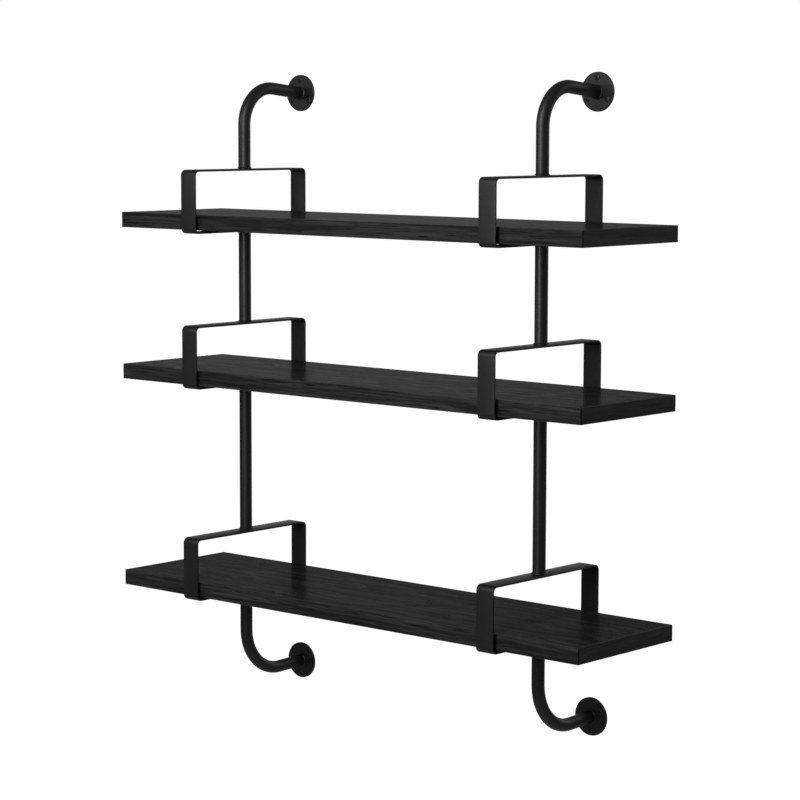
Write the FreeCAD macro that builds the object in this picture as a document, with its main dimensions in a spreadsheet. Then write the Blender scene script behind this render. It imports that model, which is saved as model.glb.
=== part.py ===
import FreeCAD, Part
import math
import os

import Sketcher

# A wall-hung shelving unit: three boards threaded through loops of flat strip on two uprights of bent tube.
# +Z is up and the wall is the plane Y = 0. The unit stands in front of the wall, towards -Y.
# The origin is on the wall, at the middle of the four wall flanges.

os.makedirs("parts", exist_ok=True)
doc = FreeCAD.newDocument("wall_shelving_unit")
Vector = FreeCAD.Vector
Rotation = FreeCAD.Rotation

# Driving dimensions, in millimetres and degrees
DIMENSIONS = [
    ("board_length", 950, "length of a board over its edging"),
    ("board_thickness", 25, "thickness of a board"),
    ("edging_thickness", 2, "thickness of the edging round a board"),
    ("edging_round", 0.8, "radius of the edging's outer corners"),
    ("upright_spacing", 618, "distance between the two tube axes"),
    ("mount_height", 960, "distance between the upper and the lower flange centres"),
    ("lower_flange_drop", 145, "height of the bottom board's underside over the lower flange centres"),
    ("upper_flange_rise", 220, "height of the upper flange centres over the top board's underside"),
    ("bay_ratio", 1.38, "lower bay's height as a multiple of the upper bay's"),
    ("tube_diameter", 20, "outer diameter of the tube"),
    ("tube_wall", 1.5, "wall thickness of the tube"),
    ("upper_bend_radius", 60, "centre-line radius of the upper arms' bends"),
    ("lower_bend_radius", 75, "centre-line radius of the lower arms' bends"),
    ("upper_arm_slope", 6, "slope of the upper arms down towards the wall"),
    ("lower_arm_slope", 2, "slope of the lower arms up towards the wall"),
    ("strap_width", 32, "width of the flat strip that the loops are bent from"),
    ("strap_thickness", 3, "thickness of the flat strip"),
    ("loop_depth", 256, "outer depth of a loop, centred on the tube"),
    ("loop_height", 102, "outer height of a loop"),
    ("loop_corner", 6, "inner radius of a loop's bends"),
    ("front_gap", 6.5, "gap between a loop's front strap and the board's front edge"),
    ("back_gap", 13.5, "gap between a loop's back strap and the board's back edge"),
    ("wall_gap", 7, "gap between a loop's back strap and the wall"),
    ("flange_diameter", 60, "diameter of a wall flange"),
    ("flange_thickness", 4, "thickness of a wall flange"),
    ("flange_round", 1, "radius of a flange's front edge"),
    ("hole_circle", 44, "pitch circle of a flange's holes"),
    ("wall_hole", 5.5, "diameter of a flange's holes"),
    ("countersink", 10, "diameter of a flange's countersinks"),
    ("weld_leg", 2.5, "leg length of the weld beads"),
    ("spacer_thickness", 2.5, "thickness of the spacers under a board"),
    ("spacer_diameter", 16, "outer diameter of the spacers"),
    ("screw_diameter", 4, "shank diameter of the board screws"),
    ("screw_length", 20, "length of a board screw under its head"),
    ("screw_tip", 4, "length of a board screw's point"),
    ("screw_head", 8, "head diameter of a board screw"),
    ("head_height", 2.6, "head height of a board screw"),
    ("head_round", 1.2, "radius of a board screw head's edge"),
    ("socket_width", 3, "width across the corners of a board screw's hexagon socket"),
    ("socket_depth", 1.4, "depth of a board screw's hexagon socket"),
    ("screw_pitch", 160, "distance between the two screws in one loop, front to back"),
    ("screw_play", 0.5, "gap between a screw and the holes in the strap and the spacer, on the radius"),
    ("pilot_play", 1, "depth of the pilot hole past the screw's tip"),
]
HOLES_PER_FLANGE = 3

# Dimensions that follow from the driving ones
BAYS = "mount_height - lower_flange_drop - upper_flange_rise"
DERIVED = [
    ("board_depth", "=loop_depth - 2 * strap_thickness - front_gap - back_gap", "depth of a board"),
    ("tube_to_wall", "=loop_depth / 2 + wall_gap", "distance from the tube axis to the wall"),
    ("upper_bay", f"=({BAYS}) / (1 + bay_ratio)", "step from the middle board to the top board"),
    ("lower_bay", "=upper_bay * bay_ratio", "step from the bottom board to the middle board"),
]

sizes = doc.addObject("Spreadsheet::Sheet", "Sizes")
for row, (alias, value, meaning) in enumerate(DIMENSIONS + DERIVED, start=1):
    sizes.set(f"A{row}", meaning)
    sizes.set(f"B{row}", str(value))
    sizes.setAlias(f"B{row}", alias)
doc.recompute()


def size(alias):
    return float(sizes.get(alias))


# Places worked out from the driving dimensions
SIDES = {"left": "(-Sizes.upright_spacing / 2)", "right": "(Sizes.upright_spacing / 2)"}
BOTTOM_BOARD = "(Sizes.lower_flange_drop - Sizes.mount_height / 2)"
MIDDLE_BOARD = f"({BOTTOM_BOARD} + Sizes.lower_bay)"
TOP_BOARD = f"({MIDDLE_BOARD} + Sizes.upper_bay)"
BOARDS = {"bottom": BOTTOM_BOARD, "middle": MIDDLE_BOARD, "top": TOP_BOARD}
TUBE_AXIS = "(-Sizes.tube_to_wall)"
LOOP_FRONT = f"({TUBE_AXIS} - Sizes.loop_depth / 2)"
BOARD_FRONT = f"({LOOP_FRONT} + Sizes.strap_thickness + Sizes.front_gap)"
SCREW_HOLE = "(Sizes.screw_diameter + 2 * Sizes.screw_play)"
UNDER_BOARD = "(Sizes.strap_thickness + Sizes.spacer_thickness)"
CORE_LENGTH = "(Sizes.board_length - 2 * Sizes.edging_thickness)"
CORE_DEPTH = "(Sizes.board_depth - 2 * Sizes.edging_thickness)"


def loop_bottom(board):
    return f"({BOARDS[board]} - {UNDER_BOARD})"


def loop_top(board):
    return f"({loop_bottom(board)} + Sizes.loop_height)"


def new_body(label, x, y, z, half_turn=None):
    """A body whose origin is at x, y, z, with an optional half turn about the axis given."""
    body = doc.addObject("PartDesign::Body", label)
    body.Label = label
    body.AllowCompound = True
    if half_turn is not None:
        body.Placement = FreeCAD.Placement(Vector(), Rotation(half_turn, 180))
    body.setExpression("Placement.Base.x", x)
    body.setExpression("Placement.Base.y", y)
    body.setExpression("Placement.Base.z", z)
    return body


def origin_feature(body, role):
    return next(feature for feature in body.Origin.OriginFeatures if feature.Role == role)


def new_sketch(body, name, plane, offset=None):
    """A sketch on one of the body's own origin planes, moved along its normal by the offset."""
    sketch = body.newObject("Sketcher::SketchObject", f"{body.Label}_{name}")
    sketch.AttachmentSupport = (origin_feature(body, plane), [""])
    sketch.MapMode = "FlatFace"
    if offset is not None:
        sketch.setExpression("AttachmentOffset.Base.z", offset)
    return sketch


def constrain(sketch, kind, *items, name=None, value=None):
    index = sketch.addConstraint(Sketcher.Constraint(kind, *items))
    if name is not None:
        sketch.renameConstraint(index, name)
        sketch.setExpression(f"Constraints.{name}", value)


def add_rectangle(sketch, width, height, inset=None):
    """A rectangle up and right from the sketch's origin, or from a corner inset both ways from it.

    It is drawn as a square of one board's thickness, and its constraints then set both sides."""
    start = size("strap_thickness") if inset else 0.0
    side = size("board_thickness")
    end = start + side
    corners = [Vector(start, start, 0), Vector(end, start, 0), Vector(end, end, 0), Vector(start, end, 0)]
    first = sketch.GeometryCount
    for index in range(4):
        sketch.addGeometry(Part.LineSegment(corners[index], corners[(index + 1) % 4]))
    for index in range(4):
        constrain(sketch, "Coincident", first + index, 2, first + (index + 1) % 4, 1)
        constrain(sketch, "Vertical" if index % 2 else "Horizontal", first + index)
    if inset:
        constrain(sketch, "DistanceX", -1, 1, first, 1, start, name="inset_x", value=inset)
        constrain(sketch, "DistanceY", -1, 1, first, 1, start, name="inset_y", value=inset)
    else:
        constrain(sketch, "Coincident", first, 1, -1, 1)
    constrain(sketch, "DistanceX", first, 1, first, 2, side, name="width", value=width)
    constrain(sketch, "DistanceY", first + 1, 1, first + 1, 2, side, name="height", value=height)


def add_circle(sketch, name, diameter, x=None, y=None):
    """A circle at x, y from the sketch's origin. An omitted x or y puts its centre on that axis."""
    circle = sketch.addGeometry(Part.Circle(Vector(10 if x else 0, 10 if y else 0, 0), Vector(0, 0, 1), 5))
    constrain(sketch, "Diameter", circle, 10.0, name=f"{name}_diameter", value=diameter)
    if x is None and y is None:
        constrain(sketch, "Coincident", circle, 3, -1, 1)
        return
    if x is None:
        constrain(sketch, "PointOnObject", circle, 3, -2)
    else:
        constrain(sketch, "DistanceX", -1, 1, circle, 3, 10.0, name=f"{name}_x", value=x)
    if y is None:
        constrain(sketch, "PointOnObject", circle, 3, -1)
    else:
        constrain(sketch, "DistanceY", -1, 1, circle, 3, 10.0, name=f"{name}_y", value=y)


def pad(body, sketch, length, centred=False):
    feature = body.newObject("PartDesign::Pad", f"{body.Label}_pad")
    feature.Profile = sketch
    feature.SideType = "Symmetric" if centred else "One side"
    feature.setExpression("Length", length)
    doc.recompute()
    return feature


def pocket(body, sketch, length, centred=False, upwards=False):
    """Cut against the sketch's normal, or along it when upwards, and make sure that something was cut."""
    before = body.Shape.Volume
    feature = body.newObject("PartDesign::Pocket", f"{sketch.Label}_pocket")
    feature.Profile = sketch
    feature.SideType = "Symmetric" if centred else "One side"
    feature.Reversed = upwards
    feature.setExpression("Length", length)
    doc.recompute()
    if not feature.Shape.Volume < before:
        raise RuntimeError(f"{feature.Label} cuts nothing")
    return feature


def round_edges(body, base, radius, name, is_wanted):
    """Fillet the edges of a feature that the test picks out."""
    names = [f"Edge{index}" for index, edge in enumerate(base.Shape.Edges, start=1) if is_wanted(edge)]
    feature = body.newObject("PartDesign::Fillet", f"{body.Label}_{name}")
    feature.Base = (base, names)
    feature.setExpression("Radius", radius)
    doc.recompute()
    return feature


def repeat_in_place(body, rows):
    """Repeat the whole body along its axes: each row is an axis role, a distance and a count."""
    steps = []
    for axis, distance, count in rows:
        step = doc.addObject("PartDesign::LinearPattern", f"{body.Label}_along_{axis[0].lower()}")
        step.Direction = (origin_feature(body, axis), [""])
        step.setExpression("Length", distance)
        step.Occurrences = count
        steps.append(step)
    pattern = body.newObject("PartDesign::MultiTransform", f"{body.Label}_set")
    pattern.TransformMode = "Whole shape"
    pattern.Transformations = steps
    body.Tip = pattern
    doc.recompute()
    return pattern


# Boards: a core panel, with edging glued on its ends and then along its front and back
def board_core(board):
    corner = "(-Sizes.board_length / 2 + Sizes.edging_thickness)"
    front = f"({BOARD_FRONT} + Sizes.edging_thickness)"
    body = new_body(f"board_core_{board}", corner, front, BOARDS[board])
    outline = new_sketch(body, "outline", "XY_Plane")
    add_rectangle(outline, CORE_LENGTH, CORE_DEPTH)
    pad(body, outline, "Sizes.board_thickness")
    pilots = new_sketch(body, "pilots", "XY_Plane")
    for side, x in SIDES.items():
        for end, sign in (("front", "-"), ("back", "+")):
            depth = f"{TUBE_AXIS} {sign} Sizes.screw_pitch / 2 - {front}"
            add_circle(pilots, f"{end}_{side}", "Sizes.screw_diameter", f"{x} - {corner}", depth)
    pocket(body, pilots, f"Sizes.screw_length - {UNDER_BOARD} + Sizes.pilot_play", upwards=True)
    return body


def edging_strip(label, plane, length, x, y, board, half_turn=None):
    """A strip with its back on one of the body's origin planes and its outer edges rounded."""
    body = new_body(label, x, y, BOARDS[board], half_turn)
    outline = new_sketch(body, "outline", plane)
    add_rectangle(outline, length, "Sizes.board_thickness")
    strip = pad(body, outline, "Sizes.edging_thickness")
    outwards = Vector(0, -1, 0) if plane == "XZ_Plane" else Vector(1, 0, 0)

    def is_outer_long_edge(edge):
        ends = [vertex.Point for vertex in edge.Vertexes]
        is_level = abs(ends[0].z - ends[1].z) < 1e-6
        return is_level and all(abs(end.dot(outwards) - size("edging_thickness")) < 1e-6 for end in ends)

    round_edges(body, strip, "Sizes.edging_round", "round", is_outer_long_edge)
    return body


def board_edging(board):
    """The four strips round a core. The back and left strips are the front and right ones turned round."""
    left, right = "(-Sizes.board_length / 2)", "(Sizes.board_length / 2)"
    front = f"({BOARD_FRONT} + Sizes.edging_thickness)"
    back = f"({front} + {CORE_DEPTH})"
    turn = Vector(0, 0, 1)
    return [
        edging_strip(f"front_edging_{board}", "XZ_Plane", "Sizes.board_length", left, front, board),
        edging_strip(f"back_edging_{board}", "XZ_Plane", "Sizes.board_length", right, back, board, turn),
        edging_strip(f"right_end_edging_{board}", "YZ_Plane", CORE_DEPTH,
                     f"{right} - Sizes.edging_thickness", front, board),
        edging_strip(f"left_end_edging_{board}", "YZ_Plane", CORE_DEPTH,
                     f"{left} + Sizes.edging_thickness", back, board, turn),
    ]


# Loops: flat strip bent into a closed rectangle, with two screw holes in its bottom flat
def shelf_loop(board, side):
    body = new_body(f"shelf_loop_{board}_{side}", SIDES[side], LOOP_FRONT, loop_bottom(board))
    outside = new_sketch(body, "outside", "YZ_Plane")
    add_rectangle(outside, "Sizes.loop_depth", "Sizes.loop_height")
    pad(body, outside, "Sizes.strap_width", centred=True)
    inside = new_sketch(body, "inside", "YZ_Plane")
    inner_depth = "Sizes.loop_depth - 2 * Sizes.strap_thickness"
    inner_height = "Sizes.loop_height - 2 * Sizes.strap_thickness"
    add_rectangle(inside, inner_depth, inner_height, inset="Sizes.strap_thickness")
    strap = pocket(body, inside, "Sizes.strap_width", centred=True)
    depth, height, wall = size("loop_depth"), size("loop_height"), size("strap_thickness")

    def is_corner(inset):
        def test(edge):
            middle = edge.CenterOfMass
            in_depth = min(abs(middle.y - inset), abs(middle.y - depth + inset)) < 1e-6
            in_height = min(abs(middle.z - inset), abs(middle.z - height + inset)) < 1e-6
            return in_depth and in_height
        return test

    bent = round_edges(body, strap, "Sizes.loop_corner", "inner_bends", is_corner(wall))
    round_edges(body, bent, "Sizes.loop_corner + Sizes.strap_thickness", "outer_bends", is_corner(0))
    holes = new_sketch(body, "holes", "XY_Plane")
    for end, sign in (("front", "-"), ("back", "+")):
        add_circle(holes, end, SCREW_HOLE, y=f"Sizes.loop_depth / 2 {sign} Sizes.screw_pitch / 2")
    pocket(body, holes, "Sizes.strap_thickness", upwards=True)
    return body


# Posts: straight tubes between two loops
def post_tube(label, side, lower, upper):
    body = new_body(label, SIDES[side], TUBE_AXIS, loop_top(lower))
    section = new_sketch(body, "section", "XY_Plane")
    add_circle(section, "outer", "Sizes.tube_diameter")
    add_circle(section, "inner", "Sizes.tube_diameter - 2 * Sizes.tube_wall")
    pad(body, section, f"{loop_bottom(upper)} - {loop_top(lower)}")
    return body


# Arms: tubes that leave a loop, go round one bend and slope back to a wall flange
def arm_tube(label, x, z, half_turn, rise, end):
    """The upper or the lower end's arm. An upside-down one is the same sketch with its body turned over."""
    slope, bend = f"{end}_arm_slope", f"{end}_bend_radius"
    body = new_body(label, x, TUBE_AXIS, z, half_turn)
    route = new_sketch(body, "route", "YZ_Plane")
    angle = math.radians(size(slope))
    radius = size(bend)
    bend_start = 2 * size("tube_diameter")
    bend_end = Vector(radius * (1 + math.sin(angle)), bend_start + radius * math.cos(angle), 0)
    wall = size("tube_to_wall")
    run = (wall - bend_end.x) / math.cos(angle)
    route.addGeometry(Part.LineSegment(Vector(0, 0, 0), Vector(0, bend_start, 0)))
    circle = Part.Circle(Vector(radius, bend_start, 0), Vector(0, 0, 1), radius)
    route.addGeometry(Part.ArcOfCircle(circle, math.pi / 2 - angle, math.pi))
    reach = Vector(run * math.cos(angle), -run * math.sin(angle), 0)
    route.addGeometry(Part.LineSegment(bend_end, bend_end + reach))
    constrain(route, "Coincident", 0, 1, -1, 1)
    constrain(route, "Vertical", 0)
    constrain(route, "Tangent", 0, 2, 1, 2)
    constrain(route, "Tangent", 1, 1, 2, 1)
    constrain(route, "Radius", 1, radius, name="bend", value=f"Sizes.{bend}")
    constrain(route, "Angle", 2, -angle, name="slope", value=f"-Sizes.{slope} * 1 deg")
    constrain(route, "DistanceX", -1, 1, 2, 2, wall, name="reach", value="Sizes.tube_to_wall")
    wall_end = f"{rise} - Sizes.flange_thickness * tan(Sizes.{slope} * 1 deg)"
    constrain(route, "DistanceY", -1, 1, 2, 2, (bend_end + reach).y, name="rise", value=wall_end)
    section = new_sketch(body, "section", "XY_Plane")
    add_circle(section, "outer", "Sizes.tube_diameter")
    add_circle(section, "inner", "Sizes.tube_diameter - 2 * Sizes.tube_wall")
    doc.recompute()
    tube = body.newObject("PartDesign::AdditivePipe", f"{label}_tube")
    tube.Profile = section
    tube.Spine = (route, ["Edge1", "Edge2", "Edge3"])
    doc.recompute()
    flange_front = "Sizes.flange_thickness - Sizes.tube_to_wall"
    face_of_flange = new_sketch(body, "flange_face", "XZ_Plane", flange_front)
    add_circle(face_of_flange, "trim", "Sizes.flange_diameter", y=rise)
    pocket(body, face_of_flange, "2 * Sizes.flange_thickness")
    return body


# Flanges: round plates with countersunk holes on a circle, the first one away from the boards
def wall_flange(label, x, z, half_turn):
    body = new_body(label, x, "0", z, half_turn)
    disc = new_sketch(body, "disc", "XZ_Plane")
    add_circle(disc, "rim", "Sizes.flange_diameter")
    plate = pad(body, disc, "Sizes.flange_thickness")
    front = -size("flange_thickness")

    def is_front_edge(edge):
        return abs(edge.CenterOfMass.y - front) < 1e-6

    round_edges(body, plate, "Sizes.flange_round", "rim", is_front_edge)
    place = new_sketch(body, "hole_place", "XZ_Plane", "Sizes.flange_thickness")
    add_circle(place, "hole", "Sizes.wall_hole", y="Sizes.hole_circle / 2")
    doc.recompute()
    before = body.Shape.Volume
    hole = body.newObject("PartDesign::Hole", f"{label}_hole")
    hole.Profile = place
    doc.recompute()
    hole.ThreadType = "None"
    hole.DepthType = "ThroughAll"
    hole.HoleCutType = "Countersink"
    hole.HoleCutCountersinkAngle = 90
    hole.setExpression("Diameter", "Sizes.wall_hole")
    hole.setExpression("HoleCutDiameter", "Sizes.countersink")
    doc.recompute()
    if not hole.Shape.Volume < before:
        raise RuntimeError(f"{hole.Label} cuts nothing")
    ring = body.newObject("PartDesign::PolarPattern", f"{label}_holes")
    ring.Originals = [hole]
    ring.Axis = (origin_feature(body, "Y_Axis"), [""])
    ring.Angle = 360
    ring.Occurrences = HOLES_PER_FLANGE
    body.Tip = ring
    doc.recompute()
    return body


# Weld beads: a fillet of weld round a tube where it stands on a loop, over and under the loop
def loop_welds(board, side):
    middle = f"{loop_bottom(board)} + Sizes.loop_height / 2"
    body = new_body(f"loop_welds_{board}_{side}", SIDES[side], TUBE_AXIS, middle)
    profile = new_sketch(body, "profile", "XZ_Plane")
    corner = Vector(size("tube_diameter") / 2, size("loop_height") / 2, 0)
    leg = size("weld_leg")
    tips = [corner, corner + Vector(leg, 0, 0), corner + Vector(0, leg, 0)]
    for index in range(3):
        profile.addGeometry(Part.LineSegment(tips[index], tips[(index + 1) % 3]))
    for index in range(3):
        constrain(profile, "Coincident", index, 2, (index + 1) % 3, 1)
    constrain(profile, "Horizontal", 0)
    constrain(profile, "Vertical", 2)
    constrain(profile, "DistanceX", -1, 1, 0, 1, corner.x, name="radius", value="Sizes.tube_diameter / 2")
    constrain(profile, "DistanceY", -1, 1, 0, 1, corner.y, name="level", value="Sizes.loop_height / 2")
    constrain(profile, "DistanceX", 0, 1, 0, 2, leg, name="leg_out", value="Sizes.weld_leg")
    constrain(profile, "DistanceY", 2, 2, 2, 1, leg, name="leg_up", value="Sizes.weld_leg")
    bead = body.newObject("PartDesign::Revolution", f"{body.Label}_bead")
    bead.Profile = profile
    bead.ReferenceAxis = (profile, ["V_Axis"])
    bead.Angle = 360
    doc.recompute()
    pair = body.newObject("PartDesign::Mirrored", f"{body.Label}_pair")
    pair.Originals = [bead]
    pair.MirrorPlane = (origin_feature(body, "XY_Plane"), [""])
    body.Tip = pair
    doc.recompute()
    return body


def flange_weld(label, x, z, slope, upper):
    """A cone round the sloping arm, less the arm itself and all that lies inside the flange."""
    inwards = "-" if upper else "+"
    front = "(-Sizes.flange_thickness)"

    def along_arm(kind, name, back):
        """A solid whose axis is the arm's, and which starts that far back inside the flange."""
        solid = doc.addObject(kind, f"{label}_{name}")
        solid.Placement = FreeCAD.Placement(Vector(), Rotation(Vector(1, 0, 0), 90))
        solid.setExpression("Placement.Rotation.Angle", f"(90 {inwards} Sizes.{slope}) * 1 deg")
        solid.setExpression("Placement.Base.x", x)
        solid.setExpression("Placement.Base.y", f"{front} + {back} * cos(Sizes.{slope} * 1 deg)")
        solid.setExpression("Placement.Base.z", f"{z} {inwards} {back} * sin(Sizes.{slope} * 1 deg)")
        return solid

    cone = along_arm("Part::Cone", "cone", "Sizes.weld_leg")
    cone.setExpression("Radius1", "Sizes.tube_diameter / 2 + 2 * Sizes.weld_leg")
    cone.setExpression("Radius2", "Sizes.tube_diameter / 2")
    cone.setExpression("Height", "2 * Sizes.weld_leg")
    arm = along_arm("Part::Cylinder", "arm", "(2 * Sizes.weld_leg)")
    arm.setExpression("Radius", "Sizes.tube_diameter / 2")
    arm.setExpression("Height", "4 * Sizes.weld_leg")
    plate = doc.addObject("Part::Box", f"{label}_plate")
    plate.setExpression("Length", "Sizes.flange_diameter")
    plate.setExpression("Width", "Sizes.flange_diameter")
    plate.setExpression("Height", "Sizes.flange_diameter")
    plate.setExpression("Placement.Base.x", f"{x} - Sizes.flange_diameter / 2")
    plate.setExpression("Placement.Base.y", front)
    plate.setExpression("Placement.Base.z", f"{z} - Sizes.flange_diameter / 2")
    ring = doc.addObject("Part::Cut", f"{label}_ring")
    ring.Base = cone
    ring.Tool = arm
    weld = doc.addObject("Part::Cut", label)
    weld.Base = ring
    weld.Tool = plate
    weld.Label = label
    return weld


# Spacers: washers that hold a board off the loops' bottom flats, four to a board
SCREW_FRONT = f"({TUBE_AXIS} - Sizes.screw_pitch / 2)"
SCREW_ROWS = [("X_Axis", "Sizes.upright_spacing", 2), ("Y_Axis", "Sizes.screw_pitch", 2)]


def board_spacers(board):
    height = f"{BOARDS[board]} - Sizes.spacer_thickness"
    body = new_body(f"board_spacers_{board}", SIDES["left"], SCREW_FRONT, height)
    section = new_sketch(body, "section", "XY_Plane")
    add_circle(section, "outer", "Sizes.spacer_diameter")
    add_circle(section, "inner", SCREW_HOLE)
    pad(body, section, "Sizes.spacer_thickness")
    repeat_in_place(body, SCREW_ROWS)
    return body


# Board screws: driven up through the loops and spacers into the boards, four to a board
def board_screws(board):
    body = new_body(f"board_screws_{board}", SIDES["left"], SCREW_FRONT, loop_bottom(board))
    profile = new_sketch(body, "profile", "XZ_Plane")
    shank, head = size("screw_diameter") / 2, size("screw_head") / 2
    length, tip = size("screw_length"), size("screw_tip")
    low, rounding = -size("head_height"), size("head_round")
    points = [Vector(0, low, 0), Vector(head - rounding, low, 0), Vector(head, low + rounding, 0)]
    points += [Vector(head, 0, 0), Vector(shank, 0, 0), Vector(shank, length - tip, 0), Vector(0, length, 0)]
    profile.addGeometry(Part.LineSegment(points[0], points[1]))
    centre = Vector(head - rounding, low + rounding, 0)
    edge = Part.Circle(centre, Vector(0, 0, 1), rounding)
    profile.addGeometry(Part.ArcOfCircle(edge, 1.5 * math.pi, 2 * math.pi))
    for index in range(2, 7):
        profile.addGeometry(Part.LineSegment(points[index], points[(index + 1) % 7]))
    constrain(profile, "Tangent", 0, 2, 1, 1)
    constrain(profile, "Tangent", 1, 2, 2, 1)
    for index in range(2, 7):
        constrain(profile, "Coincident", index, 2, (index + 1) % 7, 1)
    constrain(profile, "Horizontal", 0)
    constrain(profile, "Horizontal", 3)
    constrain(profile, "Vertical", 4)
    constrain(profile, "PointOnObject", 0, 1, -2)
    constrain(profile, "PointOnObject", 6, 1, -2)
    constrain(profile, "PointOnObject", 3, 1, -1)
    constrain(profile, "Radius", 1, rounding, name="rounding", value="Sizes.head_round")
    constrain(profile, "DistanceX", -1, 1, 3, 1, head, name="head", value="Sizes.screw_head / 2")
    constrain(profile, "DistanceX", -1, 1, 4, 1, shank, name="shank", value="Sizes.screw_diameter / 2")
    constrain(profile, "DistanceY", 0, 1, -1, 1, -low, name="head_height", value="Sizes.head_height")
    constrain(profile, "DistanceY", -1, 1, 6, 1, length, name="length", value="Sizes.screw_length")
    constrain(profile, "DistanceY", 4, 2, 6, 1, tip, name="tip", value="Sizes.screw_tip")
    turned = body.newObject("PartDesign::Revolution", f"{body.Label}_turned")
    turned.Profile = profile
    turned.ReferenceAxis = (profile, ["V_Axis"])
    turned.Angle = 360
    doc.recompute()
    socket = new_sketch(body, "socket", "XY_Plane", "-Sizes.head_height")
    radius = size("socket_width") / 2
    corners = [Vector(radius * math.cos(turn), radius * math.sin(turn), 0)
               for turn in (index * math.pi / 3 for index in range(6))]
    for index in range(6):
        socket.addGeometry(Part.LineSegment(corners[index], corners[(index + 1) % 6]))
    socket.addGeometry(Part.Circle(Vector(), Vector(0, 0, 1), radius), True)
    constrain(socket, "Coincident", 6, 3, -1, 1)
    for index in range(6):
        constrain(socket, "Coincident", index, 2, (index + 1) % 6, 1)
        constrain(socket, "PointOnObject", index, 1, 6)
    for index in range(1, 6):
        constrain(socket, "Equal", 0, index)
    constrain(socket, "PointOnObject", 0, 1, -1)
    constrain(socket, "Diameter", 6, 2 * radius, name="corners", value="Sizes.socket_width")
    pocket(body, socket, "Sizes.socket_depth", upwards=True)
    repeat_in_place(body, SCREW_ROWS)
    return body


# Assembly, from the boards to the wall
nodes = []
for board in BOARDS:
    nodes += [board_core(board), *board_edging(board), board_spacers(board), board_screws(board)]

UPPER_FLANGE = "(Sizes.mount_height / 2)"
LOWER_FLANGE = "(-Sizes.mount_height / 2)"
UPPER_END = loop_top("top")
LOWER_END = loop_bottom("bottom")
UPPER_RISE = f"({UPPER_FLANGE} - {UPPER_END})"
LOWER_RISE = f"({LOWER_END} - {LOWER_FLANGE})"
UPSIDE_DOWN = Vector(0, 1, 0)
for side, x in SIDES.items():
    for board in BOARDS:
        nodes += [shelf_loop(board, side), loop_welds(board, side)]
    nodes += [
        post_tube(f"lower_post_tube_{side}", side, "bottom", "middle"),
        post_tube(f"upper_post_tube_{side}", side, "middle", "top"),
        arm_tube(f"upper_arm_tube_{side}", x, UPPER_END, None, UPPER_RISE, "upper"),
        arm_tube(f"lower_arm_tube_{side}", x, LOWER_END, UPSIDE_DOWN, LOWER_RISE, "lower"),
        wall_flange(f"upper_wall_flange_{side}", x, UPPER_FLANGE, None),
        wall_flange(f"lower_wall_flange_{side}", x, LOWER_FLANGE, UPSIDE_DOWN),
        flange_weld(f"upper_flange_weld_{side}", x, UPPER_FLANGE, "upper_arm_slope", True),
        flange_weld(f"lower_flange_weld_{side}", x, LOWER_FLANGE, "lower_arm_slope", False),
    ]
doc.recompute()

# Nothing is written unless every object and every shape is sound
for item in doc.Objects:
    if "Invalid" in item.State or "Error" in item.State:
        raise RuntimeError(f"{item.Label} failed: {item.State}")
for node in nodes:
    if node.Shape.isNull() or not node.Shape.isValid():
        raise RuntimeError(f"{node.Label} has no sound shape")
for node in nodes:
    node.Shape.exportStep(f"parts/{node.Label}.step")
    print(f"{node.Label}: {len(node.Shape.Solids)} solids, {node.Shape.Volume / 1000:.2f} cm3")
print(f"{len(nodes)} nodes")
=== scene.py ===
# %% [markdown]
# # A wall-hung shelving unit
# The object is three black-stained boards in loops of flat strip, on two uprights of bent steel tube. The
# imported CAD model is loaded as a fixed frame, in metres, with +Z up and the wall at Y = 0. Its tubes,
# flanges, boards and spacers already have their true shapes, so they stay and get finishes. The strip
# loops, the weld beads and the screws gain detail from hand modelling, so new pieces stand for them.

# %% The frame
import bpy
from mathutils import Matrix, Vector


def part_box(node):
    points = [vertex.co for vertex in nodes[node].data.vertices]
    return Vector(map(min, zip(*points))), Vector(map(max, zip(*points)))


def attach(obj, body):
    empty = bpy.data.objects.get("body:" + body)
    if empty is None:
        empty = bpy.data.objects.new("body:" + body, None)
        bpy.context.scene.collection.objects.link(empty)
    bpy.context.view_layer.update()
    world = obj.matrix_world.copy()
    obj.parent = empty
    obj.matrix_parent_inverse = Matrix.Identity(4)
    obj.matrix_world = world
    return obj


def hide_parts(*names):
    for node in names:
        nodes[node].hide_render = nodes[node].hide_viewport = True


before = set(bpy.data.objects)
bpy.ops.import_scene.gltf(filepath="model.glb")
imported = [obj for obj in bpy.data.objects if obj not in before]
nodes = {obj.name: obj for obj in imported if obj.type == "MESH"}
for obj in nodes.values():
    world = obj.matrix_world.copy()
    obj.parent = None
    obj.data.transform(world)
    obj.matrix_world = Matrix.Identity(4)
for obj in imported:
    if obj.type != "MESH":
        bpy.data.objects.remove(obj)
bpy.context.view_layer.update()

# %% Modules
import math

import bpy
from mathutils import Matrix, Vector

MM = 0.001
scene = bpy.context.scene
scene.view_settings.view_transform = "Standard"

# %% [markdown]
# ## The camera
# The camera stands in front of the unit, to its right and a little above its middle. It could be placed by
# eye and dragged until the picture agrees. Here its place comes from a fit of the unit's corners to its
# real sizes, so it is given as a place, three turns and a focal length in pixels of the frame.

# %% The camera
CAMERA_PLACE = (2.65921, -3.11557, 0.44807)
CAMERA_TURN = math.radians(41.411)
CAMERA_TILT = math.radians(-6.3957)
CAMERA_ROLL = math.radians(0.1357)
QUARTER_TURN = math.radians(90)
HALF_TURN = math.radians(180)
FOCAL_PIXELS = 2564.12
FRAME_PIXELS = 800
SENSOR_MM = 36

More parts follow.
